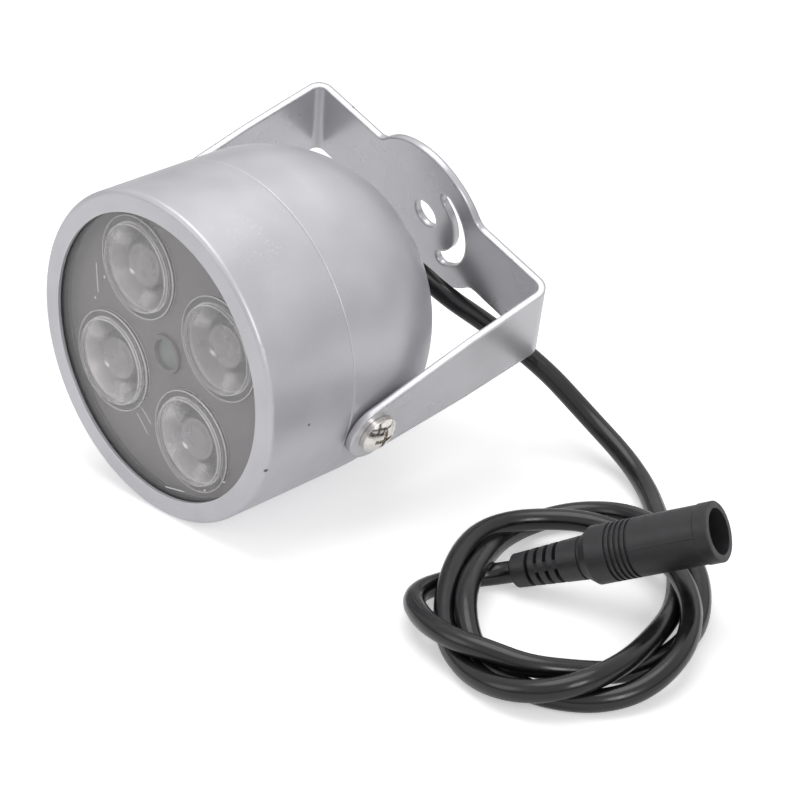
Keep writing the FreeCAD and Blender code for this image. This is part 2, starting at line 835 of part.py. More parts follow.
def coil_ring():
    """The outer form of the loose turns: an oval ring with rounded edges."""
    height = value("coil_height")
    half_width = value("coil_half_width")
    flat = []
    for side in (half_width, -half_width):
        oval = Part.Ellipse(Vector(0, 0, 0), value("coil_long") + side, value("coil_wide") + side)
        flat.append(Part.Wire([oval.toShape()]))
    solid = Part.Face(flat[0]).extrude(Vector(0, 0, height))
    hole = Part.Face(flat[1]).extrude(Vector(0, 0, height))
    solid = solid.cut(hole)
    rims = [edge for edge in solid.Edges if isinstance(edge.Curve, Part.Ellipse)]
    solid = solid.makeFillet(value("coil_edge_r"), rims)
    solid.Placement = Placement(Vector(value("coil_x"), value("coil_y"), 0),
                                Rotation(Vector(0, 0, 1), value("coil_turn")))
    return solid


def cord_coil(lead):
    """The coil with the turned-back end of the lead, as one closed solid."""
    tail = tube(list(TAIL_ROUTE) + plug_points(), value("cable_r"))
    solid = coil_ring().fuse(tail).cut(lead.Shape)
    return shape_feature("cord_coil", max(solid.Solids, key=lambda part: part.Volume))


def socket_shell():
    """The moulded body of the inline socket, with its ringed strain relief and grip grooves."""
    body = turned("socket_shell", [
        ("0", "0"),
        ("relief_end_r - relief_bevel", "0"),
        ("relief_end_r", "relief_bevel"),
        ("plug_neck_r", "neck_end"),
        ("plug_r", "neck_end + shoulder"),
        ("plug_r", "plug_length - end_ring"),
        ("plug_ring_r", "plug_length - end_ring + seam_bevel"),
        ("plug_ring_r", "plug_length - seam_bevel"),
        ("plug_ring_r - seam_bevel", "plug_length"),
        ("mouth_r", "plug_length"),
        ("mouth_r", "plug_length - mouth_depth"),
        ("0", "plug_length - mouth_depth"),
    ])
    relief = [f"(relief_start + {number} * relief_pitch)" for number in range(RELIEF_GROOVES)]
    grip = [f"(rib_start + {number} * rib_pitch)" for number in range(GRIP_GROOVES)]
    grooves(body, "relief_grooves", relief, "relief_gap", "relief_end_r - relief_depth")
    grooves(body, "neck_line", ["neck_line"], "neck_line_width", "plug_neck_r - neck_line_depth")
    grooves(body, "grip_grooves", grip, "rib_gap", "plug_r - rib_depth")
    relief_spine(body, relief[1], f"({relief[-1]} + relief_gap)")
    return body


def grooves(body, name, starts, width, floor):
    """Grooves turned into a body down to one radius, each from its start along Y."""
    sketch = new_sketch(body, "XY_Plane")
    for start in starts:
        outline(sketch, [
            (floor, start),
            ("plug_r + 1", start),
            ("plug_r + 1", f"{start} + {width}"),
            (floor, f"{start} + {width}"),
        ])
    cut = body.newObject("PartDesign::Groove", name)
    cut.Profile = sketch
    cut.ReferenceAxis = (sketch, ["V_Axis"])
    cut.Angle = 360
    sketch.Visibility = False


def relief_spine(body, start, end):
    """The flat spine on both sides of the strain relief, which joins its rings again."""
    def surface_r(place):
        return f"(relief_end_r + (plug_neck_r - relief_end_r) * {place} / neck_end - spine_inset)"
    sketch = new_sketch(body, "XY_Plane")
    outline(sketch, [
        (f"-{surface_r(start)}", start),
        (surface_r(start), start),
        (surface_r(end), end),
        (f"-{surface_r(end)}", end),
    ])
    pad = body.newObject("PartDesign::Pad", "relief_spine")
    pad.Profile = sketch
    pad.SideType = "Symmetric"
    bind(pad, Length="2 * spine_half")
    sketch.Visibility = False


def socket_insert():
    """The hard sleeve in the mouth, closed at its back, which holds the pin."""
    front = "(plug_length - insert_back)"
    back = "(plug_length - mouth_depth)"
    return turned("socket_insert", [
        ("0", back),
        ("mouth_r - seat_gap", back),
        ("mouth_r - seat_gap", front),
        ("insert_r", front),
        ("insert_r", f"{front} - insert_depth"),
        ("pin_r + seat_gap", f"{front} - insert_depth"),
        ("pin_r + seat_gap", f"{back} + seat_gap"),
        ("0", f"{back} + seat_gap"),
    ])


def socket_pin():
    back = "(plug_length - mouth_depth + 2 * seat_gap)"
    tip = "(plug_length - pin_back)"
    return turned("socket_pin", [
        ("0", back),
        ("pin_r", back),
        ("pin_r", f"{tip} - pin_r / 2"),
        ("pin_r / 2", tip),
        ("0", tip),
    ])


def socket_contact():
    """The sprung sleeve contact, as a thin ring deep in the insert."""
    floor = "(plug_length - insert_back - insert_depth)"
    return ring("socket_contact", "insert_r - seat_gap - contact_wall", "insert_r - seat_gap",
                floor, f"{floor} + contact_depth")


def head_placement():
    """The lamp head on the floor, with the box of lamp and bracket centred on the origin."""
    right = ("(bracket_half * cos(roll) + ((bracket_reach - bend_r) * sin(tilt)"
             " + band_half * cos(tilt)) * sin(roll))")
    left = f"(({SCREW_SEAT} + pivot_head_rim + pivot_head_rise - {CROWN_R}) * cos(roll) + {CROWN_R})"
    back = "(bracket_reach * cos(tilt) + lobe_r * sin(tilt))"
    across = value(f"({left} - {right}) / 2")
    along = value(f"(front_reach - {back}) / 2")
    return Placement(Vector(across, along, value("housing_r")), Rotation(Vector(0, 1, 0), value("roll")))


def build():
    """All sub-parts, each put where it lies."""
    head = head_placement()
    tilted = head * Placement(Vector(0, 0, 0), Rotation(Vector(1, 0, 0), value("tilt")))
    floor = Placement(Vector(head.Base.x, head.Base.y, 0), Rotation())
    placed = [(bracket(), tilted)]
    inside = [
        front_shell(),
        rear_shell(),
        shell_seal(),
        ring("window", "0", STACK_R, GLASS_FRONT, GLASS_BACK),
        ring("window_gasket", f"{STACK_R} - ring_width", STACK_R, GLASS_BACK, MASK_FRONT),
        lens_mask(),
        ring("spacer_ring", f"{STACK_R} - ring_width", STACK_R, MASK_BACK, BOARD_FRONT),
        ring("led_board", "0", STACK_R, BOARD_FRONT, BOARD_BACK),
        sensor_collar(),
        light_sensor(),
        heat_sink(),
        board_posts(),
        driver_board(),
        board_screws(),
        driver_inductor(),
        driver_capacitor(),
        driver_chip(),
        wires("led_wires", BOARD_BACK, POST_BACK, wire_places()),
        wires("supply_wires", DRIVER_BACK, "cable_inner", conductor_places()),
        cable_inside(),
        cable_grommet(),
        cable_tie(),
        pivot_screw("pivot_screw_near", 1),
        pivot_screw("pivot_screw_far", -1),
    ]
    doc.recompute()
    for piece in inside:
        placed.append((piece, head * piece.Placement))
    for number, (across, up) in enumerate(lens_places(), start=1):
        shift = Placement(Vector(value(across), 0, value(up)), Rotation())
        placed.append((lens(number), head * shift))
        placed.append((lens_cup(number), head * shift))
        placed.append((emitter(number), head * shift))
    lead = cord_lead()
    placed.append((lead, floor))
    placed.append((cord_coil(lead), floor))
    for piece in (socket_shell(), socket_insert(), socket_pin(), socket_contact()):
        placed.append((piece, floor * plug_placement()))
    doc.recompute()
    for piece, place in placed:
        piece.Placement = place
    doc.recompute()
    return [piece for piece, place in placed]


def write(pieces):
    """Checks every object and each sub-part, then writes one file for each sub-part."""
    for item in doc.Objects:
        if "Invalid" in item.State or "Error" in item.State:
            raise RuntimeError(f"{item.Name} failed: {item.State}")
    for piece in pieces:
        if piece.Shape.isNull() or not piece.Shape.isValid() or not piece.Shape.Solids:
            raise RuntimeError(f"{piece.Label} has no valid solid")
    os.makedirs("parts", exist_ok=True)
    for piece in pieces:
        piece.Shape.exportStep(f"parts/{piece.Label}.step")
    print(f"{len(pieces)} sub-parts written")


write(build())
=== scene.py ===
import json
import math

import bmesh
import bpy
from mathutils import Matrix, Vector


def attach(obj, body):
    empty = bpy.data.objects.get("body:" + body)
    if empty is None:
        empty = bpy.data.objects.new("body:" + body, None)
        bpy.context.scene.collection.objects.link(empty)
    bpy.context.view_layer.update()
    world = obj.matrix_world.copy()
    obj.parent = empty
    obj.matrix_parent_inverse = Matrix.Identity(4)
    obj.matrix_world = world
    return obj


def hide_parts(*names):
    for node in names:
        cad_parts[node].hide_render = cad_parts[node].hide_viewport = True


# Infrared illuminator: a round lamp head in a U bracket, with a thin lead that lies in loose turns
# and ends in an inline power socket. Lengths here are in metres unless a name says otherwise.

MM = 0.001

# The pivot's place in the row frame. Places below are given from it in millimetres, with their
# heights from the floor.
PIVOT_X = -1.9048 * MM
PIVOT_Y = -8.6108 * MM

# The photograph's camera: its place, the way back from the part to it, its lens and sensor in
# millimetres, and the nearest and farthest that it sees in metres.
CAMERA_PLACE = (300.95, -262.66, 217.6)
CAMERA_BACK = (0.6351, -0.6225, 0.4572)
CAMERA_LENS = 120.78
SENSOR_WIDTH = 36.0
CAMERA_NEAR = 0.01
CAMERA_FAR = 10.0

# Colours in the silver paint and how much of each shows: bright flakes, a painted highlight along
# the edges, the pale specks where it is rubbed, and the dark ground in a chip.
FLAKE_COLOUR = (0.86, 0.86, 0.88)
FLAKE_SHARE = 0.25
# Painted highlight: the paint's colour is lightened along its outer edges.
EDGE_HIGHLIGHT_COLOUR = (0.9, 0.9, 0.92)
EDGE_HIGHLIGHT_SHARE = 0.35
RUBBED_COLOUR = (0.92, 0.92, 0.94)
RUBBED_SHARE = 0.4
CHIP_COLOUR = (0.12, 0.11, 0.11)

# The pale scratches on the front glass and the painted highlights on the lenses' edges and rings, and
# how much of them shows.
SCRATCH_AND_HIGHLIGHT_COLOUR = (0.95, 0.95, 0.95)
SCRATCH_AND_HIGHLIGHT_SHARE = 0.85

# How far the edges of plastic and bare metal are rounded over.
SOFT_EDGE = 0.12 * MM

# Dark chips in the housing's paint: a place from the pivot and a reach, in millimetres.
PAINT_CHIPS = (
    ((26.0, -22.2, 17.8), 0.45),
    ((27.65, -14.57, 23.62), 0.3),
)

# A small nick near the top edge of the bracket's web: its place and its reach, in millimetres.
BRACKET_NICKS = (((-12.9, 33.9, 52.1), 0.35),)

# Scratches, specks and smears on the front glass: a start, an end and a half width, in millimetres.
GLASS_SCRATCHES = (
    ((-5.6, -22.1, 16.1), (-3.0, -22.1, 13.2), 0.10),
    ((-4.2, -22.1, 17.5), (-2.1, -22.1, 15.4), 0.10),
    ((-14.2, -22.1, 40.2), (-14.1, -22.1, 35.0), 0.12),
    ((1.0, -22.1, 5.0), (5.6, -22.1, 5.9), 0.14),
    ((15.4, -22.1, 11.6), (15.9, -22.1, 11.7), 0.16),
    ((10.7, -22.1, 8.2), (11.0, -22.1, 8.3), 0.20),
    ((-12.3, -22.1, 38.4), (-12.2, -22.1, 38.1), 0.20),
    ((-15.0, -22.1, 33.8), (-14.9, -22.1, 33.6), 0.20),
)

# The painted highlight ring of each lens, where it passes its plate: its place along Y and half its
# depth, in millimetres.
LENS_RING_Y = -17.7
LENS_RING_HALF = 0.25

# Where the paint on top of the housing is rubbed to pale specks, and how far, in millimetres.
RUBBED_PLACE = (16.0, -14.0, 51.0)
RUBBED_REACH = 8.0

# The socket's axis: where the lead enters it, its heading, and the way out to its mould line.
SOCKET_BASE = (57.0, 1.7, 3.0)
SOCKET_AHEAD = Vector((0.8384, 0.3698, 0.4004))
SOCKET_SIDE = Vector((0.2455, -0.9121, 0.3284))
SOCKET_RADIUS = 4.6

# Where the mould line starts and ends along that axis, half its width and its height.
MOULD_LINE = (21.6, 32.3)
MOULD_LINE_HALF = 0.14 * MM
MOULD_LINE_HEIGHT = 0.05 * MM

# Half the floor's side in metres, and how far below the part it lies.
FLOOR_HALF = 3.0
FLOOR_DROP = 0.02 * MM

# How much brighter than its own light the floor is to the camera and in reflections.
FLOOR_GLOW = 0.42
MIRRORED_GLOW = 0.25

# The world's strength as light, then in reflections: at the horizon, and from the height up where
# the upward part of a direction is SKY_HEIGHT.
WORLD_LIGHT = 0.42
HORIZON_LIGHT = 0.27
SKY_LIGHT = 0.95
SKY_HEIGHT = 0.45

# Each lamp's name, its place and width in metres, and its power in watts. All face LAMP_AIM.
LAMP_AIM = Vector((0.0, 0.0, 0.03))
LAMPS = (
    ("top", (-0.1, 0.05, 0.9), 0.8, 3.5),
    ("front", (-0.35, -0.7, 0.4), 0.5, 0.8),
    ("side", (0.75, -0.2, 0.45), 0.35, 1.7),
)

# The cord's thickness, and where it leaves the grommet.
CORD_DIAMETER = 3.5 * MM
CORD_EXIT = (0.0, 27.7, 28.0)

# The cord's line from the grommet down to the coil.
LEAD_POINTS = (
    CORD_EXIT,
    (0.0, 30.0, 28.0),
    (0.95, 32.1, 27.65),
    (2.9, 33.5, 26.8),
    (6.7, 33.8, 25.0),
    (10.7, 34.8, 22.9),
    (14.5, 36.8, 20.5),
    (18.6, 38.8, 17.8),
    (23.4, 40.0, 15.3),
    (28.2, 41.0, 12.5),
    (32.8, 41.7, 9.3),
    (37.8, 42.0, 6.3),
    (43.4, 41.4, 4.1),
    (49.1, 39.5, 2.6),
    (54.5, 36.4, 1.9),
    (59.5, 32.4, 1.8),
)

# The end of the cord, which turns back on itself and enters the socket.
TAIL_POINTS = (
    (67.5, -22.1, 5.5),
    (62.0, -21.6, 5.1),
    (57.0, -19.7, 4.5),
    (52.9, -16.8, 3.7),
    (50.5, -13.0, 2.8),
    (50.1, -8.5, 2.0),
    (51.8, -3.6, 1.9),
    (54.5, 0.6, 1.9),
    SOCKET_BASE,
)

# The loose turns run round an oval: its centre, half its length and width, and how it is turned. Each
# station gives the angle in degrees, how far out it lies as a share of the oval, and its height in
# millimetres. Between two stations comes one more point.
COIL_CENTRE = (69.5, 2.0)
COIL_LONG = 27.2
COIL_WIDE = 17.5
COIL_TURN = math.radians(-51.7)
COIL_STATIONS = (
    (139.6, 1.134, 1.9),
    (107.8, 0.917, 1.9),
    (59.4, 0.814, 4.5),
    (15.8, 0.957, 5.5),
    (-12.4, 1.045, 4.1),
    (-44.4, 1.115, 2.1),
    (-70.6, 1.157, 2.5),
    (-94.5, 1.124, 4.9),
    (-121.2, 1.076, 5.5),
    (-153.7, 0.848, 5.1),
    (-199.2, 0.735, 5.2),
    (-242.7, 0.834, 5.4),
    (-275.5, 1.001, 5.4),
    (-301.5, 1.097, 4.5),
    (-327.7, 1.047, 2.5),
    (-360.3, 0.952, 1.9),
    (-394.3, 0.944, 1.9),
    (-419.9, 0.977, 2.7),
    (-440.3, 0.964, 5.3),
    (-470.7, 0.922, 4.4),
    (-505.0, 1.040, 1.9),
    (-538.6, 1.026, 2.9),
    (-578.4, 0.998, 5.0),
    (-610.3, 1.073, 4.4),
    (-636.8, 1.064, 2.0),
    (-668.5, 0.884, 1.9),
    (-716.2, 0.757, 3.4),
    (-762.0, 0.989, 5.5),
)


def placed(point):
    """A point given from the pivot in millimetres, in the row frame in metres."""
    x, y, z = point
    return Vector((x * MM + PIVOT_X, y * MM + PIVOT_Y, z * MM))


def make_camera():
    """The photograph's camera."""
    data = bpy.data.cameras.new("camera")
    data.lens = CAMERA_LENS
    data.sensor_width = SENSOR_WIDTH
    data.clip_start = CAMERA_NEAR
    data.clip_end = CAMERA_FAR
    camera = bpy.data.objects.new("camera", data)
    camera.location = placed(CAMERA_PLACE)
    camera.rotation_mode = "QUATERNION"
    camera.rotation_quaternion = (-Vector(CAMERA_BACK)).to_track_quat("-Z", "Y")
    bpy.context.collection.objects.link(camera)
    bpy.context.scene.camera = camera


def with_middles(stations):
    """The stations with the middle of a smooth line between each two of them."""
    last = len(stations) - 1
    filled = []
    for number, start in enumerate(stations[:-1]):
        end = stations[number + 1]
        before = stations[max(number - 1, 0)]
        after = stations[min(number + 2, last)]
        middle = [(9 * (b + c) - a - d) / 16 for a, b, c, d in zip(before, start, end, after)]
        filled += [start, middle]
    return filled + [stations[last]]


def coil_points():
    """The loose turns, point by point round the oval."""
    long_way = Vector((math.cos(COIL_TURN), math.sin(COIL_TURN)))
    wide_way = Vector((-long_way.y, long_way.x))
    points = []
    for angle, share, height in with_middles(COIL_STATIONS):
        turn = math.radians(angle)
        along = long_way * (COIL_LONG * share * math.cos(turn))
        across = wide_way * (COIL_WIDE * share * math.sin(turn))
        place = Vector(COIL_CENTRE) + along + across
        points.append((place.x, place.y, height))
    return points


def make_cord():
    """The whole lead as one smooth curve, from the grommet to the socket."""
    data = bpy.data.curves.new("power_lead", "CURVE")
    data.dimensions = "3D"
    data.bevel_depth = CORD_DIAMETER / 2
    data.bevel_resolution = 5
    data.resolution_u = 5
    data.use_fill_caps = True
    route = list(LEAD_POINTS) + coil_points() + list(TAIL_POINTS)
    spline = data.splines.new("NURBS")
    spline.points.add(len(route) - 1)
    for point, place in zip(spline.points, route):
        point.co = (*placed(place), 1.0)
    spline.order_u = 3
    spline.use_endpoint_u = True
    cord = bpy.data.objects.new("power_lead", data)
    bpy.context.collection.objects.link(cord)
    return cord


def set_input(tree, socket, given):
    """Gives a socket a value, or links another node's output to it."""
    if isinstance(given, bpy.types.NodeSocket):
        tree.links.new(given, socket)
    else:
        socket.default_value = given


def add(tree, kind, inputs=None, **settings):
    """A new node with its settings, and its inputs by name or number."""
    node = tree.nodes.new("ShaderNode" + kind)
    for name, setting in settings.items():
        setattr(node, name, setting)
    for name, given in (inputs or {}).items():
        set_input(tree, node.inputs[name], given)
    return node


def math_node(tree, operation, *values):
    """The result of one Math node."""
    node = add(tree, "Math", dict(enumerate(values)), operation=operation)
    return node.outputs[0]


def spread(tree, source, low, high, to_low=0.0, to_high=1.0):
    """Source from low to high, stretched smoothly to other limits."""
    limits = {"Value": source, "From Min": low, "From Max": high, "To Min": to_low, "To Max": to_high}
    return add(tree, "MapRange", limits, interpolation_type="SMOOTHSTEP").outputs["Result"]


def blend_colours(tree, share, first, second):
    """Two colours mixed by a share. A colour is three numbers or another node's output."""
    node = add(tree, "Mix", {"Factor": share}, data_type="RGBA")
    for socket, colour in ((node.inputs["A"], first), (node.inputs["B"], second)):
        set_input(tree, socket, colour if isinstance(colour, bpy.types.NodeSocket) else (*colour, 1.0))
    return node.outputs["Result"]


def noise(tree, size, detail=2.0, distortion=0.0):
    """Noise whose features are about size metres across, fixed to the part."""
    place = add(tree, "TexCoord").outputs["Object"]
    inputs = {"Vector": place, "Scale": 1.0 / size, "Detail": detail, "Distortion": distortion}
    return add(tree, "TexNoise", inputs).outputs["Fac"]


def bumped(tree, height, depth, normal):
    """The normal that a height, from 0 to 1, gives when it stands depth metres high on a surface."""
    return add(tree, "Bump", {"Height": height, "Distance": depth, "Normal": normal}).outputs["Normal"]


def rounded_edges(tree, reach, samples):
    """The surface's normal, turned smoothly over an edge within reach metres."""
    return add(tree, "Bevel", {"Radius": reach}, samples=samples).outputs["Normal"]


def near_edge(tree, reach):
    """About 1 within reach metres of an outer edge, and 0 away from it."""
    rounded = rounded_edges(tree, reach, 6)
    flat = add(tree, "NewGeometry").outputs["True Normal"]
    turn = add(tree, "VectorMath", {0: rounded, 1: flat}, operation="DOT_PRODUCT").outputs["Value"]
    return spread(tree, turn, 0.999, 0.93)


def new_material(name):
    """A material, its node tree and its Principled shader."""
    material = bpy.data.materials.new(name)
    material.use_nodes = True
    tree = material.node_tree
    return material, tree, tree.nodes["Principled BSDF"]


def shade(tree, shader, **inputs):
    """Sets the Principled shader's inputs, by their names with _ for a space."""
    for name, given in inputs.items():
        set_input(tree, shader.inputs[name.replace("_", " ")], given)


def marks(tree, places):
    """1 within each mark's reach of its centre, with a ragged edge. A place is a point and a reach."""
    ragged = spread(tree, noise(tree, 0.25 * MM), 0.3, 0.7, -0.08 * MM, 0.08 * MM)
    here = add(tree, "TexCoord").outputs["Object"]
    total = 0.0
    for point, reach in places:
        gap = add(tree, "VectorMath", {0: here, 1: point}, operation="DISTANCE").outputs["Value"]
        inside = spread(tree, math_node(tree, "ADD", gap, ragged), reach, reach * 0.6)
        total = math_node(tree, "MAXIMUM", total, inside)
    return total


def strokes(tree, lines):
    """1 along each line, 0 beyond its half width. A line is a start, an end and a half width."""
    here = add(tree, "TexCoord").outputs["Object"]
    total = 0.0
    for start, end, half_width in lines:
        way = end - start
        out = add(tree, "VectorMath", {0: here, 1: start}, operation="SUBTRACT").outputs["Vector"]
        run = {0: out, 1: way / way.length_squared}
        along = add(tree, "VectorMath", run, operation="DOT_PRODUCT").outputs["Value"]
        share = add(tree, "Clamp", {"Value": along}).outputs["Result"]
        foot = add(tree, "VectorMath", {0: way, "Scale": share}, operation="SCALE").outputs["Vector"]
        gap = add(tree, "VectorMath", {0: out, 1: foot}, operation="DISTANCE").outputs["Value"]
        total = math_node(tree, "MAXIMUM", total, spread(tree, gap, half_width, half_width * 0.4))
    return total


def lens_ring_highlight(tree):
    """1 on the painted highlight ring where a lens passes its plate, and 0 elsewhere."""
    here = add(tree, "TexCoord").outputs["Object"]
    depth = add(tree, "SeparateXYZ", {0: here}).outputs["Y"]
    away = math_node(tree, "SUBTRACT", depth, LENS_RING_Y * MM + PIVOT_Y)
    gap = math_node(tree, "ABSOLUTE", away)
    return spread(tree, gap, LENS_RING_HALF * MM, LENS_RING_HALF * 0.4 * MM)


def rubbed(tree):
    """Pale specks that thin out away from the rubbed place."""
    here = add(tree, "TexCoord").outputs["Object"]
    where = {0: here, 1: placed(RUBBED_PLACE)}
    gap = add(tree, "VectorMath", where, operation="DISTANCE").outputs["Value"]
    near = spread(tree, gap, RUBBED_REACH * MM, 0.0)
    patchy = math_node(tree, "MULTIPLY", near, spread(tree, noise(tree, 2.5 * MM), 0.4, 0.6))
    speck = spread(tree, noise(tree, 0.35 * MM, detail=1), 0.55, 0.68)
    return math_node(tree, "MULTIPLY", patchy, speck)


def layered(tree, mask, most, below, colour):
    """A colour laid over the one below, where a mask of 0 to 1 is full, by the most of it that shows."""
    return blend_colours(tree, math_node(tree, "MULTIPLY", mask, most), below, colour)


def paint_colour(tree, dark, light, chips, worn):
    """The silver paint's colour: slow clouds, fine flakes, a painted highlight on the edges, chips and
    rubbed specks.
    """
    clouds = spread(tree, noise(tree, 9 * MM, detail=1), 0.35, 0.65)
    flakes = spread(tree, noise(tree, 0.22 * MM, detail=1), 0.62, 0.78)
    colour = blend_colours(tree, clouds, dark, light)
    colour = layered(tree, flakes, FLAKE_SHARE, colour, FLAKE_COLOUR)
    # Painted highlight: the paint is made lighter near every outer edge.
    colour = layered(tree, near_edge(tree, 0.25 * MM), EDGE_HIGHLIGHT_SHARE, colour, EDGE_HIGHLIGHT_COLOUR)
    colour = blend_colours(tree, marks(tree, chips), colour, CHIP_COLOUR)
    if worn:
        colour = layered(tree, rubbed(tree), RUBBED_SHARE, colour, RUBBED_COLOUR)
    return colour


def silver_paint(name, dark, light, rough_low, peel_depth, bend, chips, worn=False):
    """Silver-grey metallic paint with a slight orange peel. The peel's depth and the reach that edges
    are rounded over are in metres."""
    material, tree, shader = new_material(name)
    colour = paint_colour(tree, dark, light, chips, worn)
    rough = spread(tree, noise(tree, 9 * MM, detail=2), 0.3, 0.7, rough_low, rough_low + 0.03)
    peel = bumped(tree, noise(tree, 0.9 * MM, detail=1), peel_depth, rounded_edges(tree, bend, 8))
    grain = bumped(tree, noise(tree, 0.35 * MM, detail=0), peel_depth * 0.4, peel)
    shade(tree, shader, Base_Color=colour, Metallic=0.55, Roughness=rough, Normal=grain)
    return material


def shell_paint():
    """The housing's paint, which is chipped and rubbed."""
    return silver_paint(
        "shell_paint",
        dark=(0.535, 0.53, 0.56),
        light=(0.57, 0.565, 0.595),
        rough_low=0.4,
        peel_depth=0.008 * MM,
        bend=0.2 * MM,
        chips=[(placed(point), reach * MM) for point, reach in PAINT_CHIPS],
        worn=True,
    )


def bracket_paint():
    """The bracket's paint, smoother and glossier than the housing's."""
    return silver_paint(
        "bracket_paint",
        dark=(0.54, 0.535, 0.56),
        light=(0.565, 0.56, 0.585),
        rough_low=0.27,
        peel_depth=0.0015 * MM,
        bend=0.65 * MM,
        chips=[(placed(point), reach * MM) for point, reach in BRACKET_NICKS],
    )


def see_through(name, ior, roughness, tint, coat):
    """Clear glass or acrylic, slightly smeared, with its tree and its shader."""
    material, tree, shader = new_material(name)
    smear = spread(tree, noise(tree, 6 * MM, detail=4), 0.45, 0.75, roughness, roughness + 0.05)
    shade(tree, shader, Base_Color=(*tint, 1.0), Transmission_Weight=1.0, IOR=ior, Roughness=smear)
    shade(tree, shader, Coat_Weight=coat, Coat_Roughness=0.08)
    return material, tree, shader


def let_light_by(tree, shader, tint, scratches_and_highlights):
    """Sends shadow rays straight on to what is behind, and paints the given places pale: real scratches
    on the glass, painted highlights on the lenses.
    """
    clear = add(tree, "BsdfTransparent", {"Color": (*tint, 1.0)})
    pale = add(tree, "BsdfDiffuse", {"Color": (*SCRATCH_AND_HIGHLIGHT_COLOUR, 1.0)})
    passing = add(tree, "LightPath").outputs["Is Shadow Ray"]
    share = math_node(tree, "MULTIPLY", scratches_and_highlights, SCRATCH_AND_HIGHLIGHT_SHARE)
    seen = add(tree, "MixShader", {0: share, 1: shader.outputs["BSDF"], 2: pale.outputs["BSDF"]})
    both = add(tree, "MixShader", {0: passing, 1: seen.outputs["Shader"], 2: clear.outputs["BSDF"]})
    tree.links.new(both.outputs["Shader"], tree.nodes["Material Output"].inputs["Surface"])


def window_glass():
    """The clear front glass, which is scratched."""
    tint = (0.975, 0.965, 0.972)
    scratches = [(placed(start), placed(end), half * MM) for start, end, half in GLASS_SCRATCHES]
    material, tree, shader = see_through("window_glass", 1.5, 0.0, tint, 0.0)
    let_light_by(tree, shader, tint, strokes(tree, scratches))
    return material


def lens_acrylic():
    """The lenses' acrylic, with painted highlights along its moulded edges and at the ring where it
    passes the plate.
    """
    tint = (0.95, 0.94, 0.947)
    material, tree, shader = see_through("lens_acrylic", 1.49, 0.25, tint, 0.5)
    # Painted highlights: the lens is made pale along its edges and at its ring.
    scratches_and_highlights = math_node(tree, "MAXIMUM", near_edge(tree, 0.4 * MM), lens_ring_highlight(tree))
    let_light_by(tree, shader, tint, scratches_and_highlights)
    return material


def plain_plastic(name, colour, roughness, grain=0.2 * MM, depth=0.006 * MM, varied=0.15):
    """Moulded plastic, paint or rubber with a fine grain and slightly uneven colour."""
    material, tree, shader = new_material(name)
    darker = tuple(part * (1 - varied) for part in colour)
    lighter = tuple(min(part * (1 + varied), 1.0) for part in colour)
    mottled = spread(tree, noise(tree, 4 * MM, detail=4), 0.3, 0.7)
    rough = spread(tree, noise(tree, 1.5 * MM, detail=3), 0.3, 0.7, roughness - 0.05, roughness + 0.05)
    normal = bumped(tree, noise(tree, grain, detail=2), depth, rounded_edges(tree, SOFT_EDGE, 4))
    shade(tree, shader, Base_Color=blend_colours(tree, mottled, darker, lighter))
    shade(tree, shader, Roughness=rough, Normal=normal)
    return material


def bare_metal(name, colour, roughness):
    """Plated or turned metal with faint scuffs."""
    material, tree, shader = new_material(name)
    scuff = spread(tree, noise(tree, 1.2 * MM, detail=5, distortion=1.5), 0.45, 0.7)
    rough = math_node(tree, "MULTIPLY_ADD", scuff, 0.12, roughness)
    rounded = rounded_edges(tree, SOFT_EDGE, 6)
    normal = bumped(tree, noise(tree, 0.5 * MM, detail=3), 0.004 * MM, rounded)
    dull = tuple(part * 0.85 for part in colour)
    shade(tree, shader, Base_Color=blend_colours(tree, scuff, colour, dull))
    shade(tree, shader, Metallic=1.0, Roughness=rough, Normal=normal)
    return material


def cord_jacket():
    """The lead's smooth black jacket, semi-gloss, with a faint unevenness."""
    return plain_plastic("cord_jacket", (0.007, 0.0065, 0.0075), 0.22, 0.8 * MM, 0.004 * MM)


def socket_plastic():
    """Black moulded plastic with the line where the two halves of its mould met."""
    material = plain_plastic("socket_plastic", (0.017, 0.017, 0.019), 0.45, 0.15 * MM, 0.006 * MM)
    tree = material.node_tree
    shader = tree.nodes["Principled BSDF"]
    side = SOCKET_SIDE * (SOCKET_RADIUS * MM)
    start, end = [
        placed(SOCKET_BASE) + SOCKET_AHEAD * (along * MM) + side
        for along in MOULD_LINE
    ]
    ridge = strokes(tree, [(start, end, MOULD_LINE_HALF)])
    plain = shader.inputs["Normal"].links[0].from_socket
    shade(tree, shader, Normal=bumped(tree, ridge, MOULD_LINE_HEIGHT, plain))
    return material


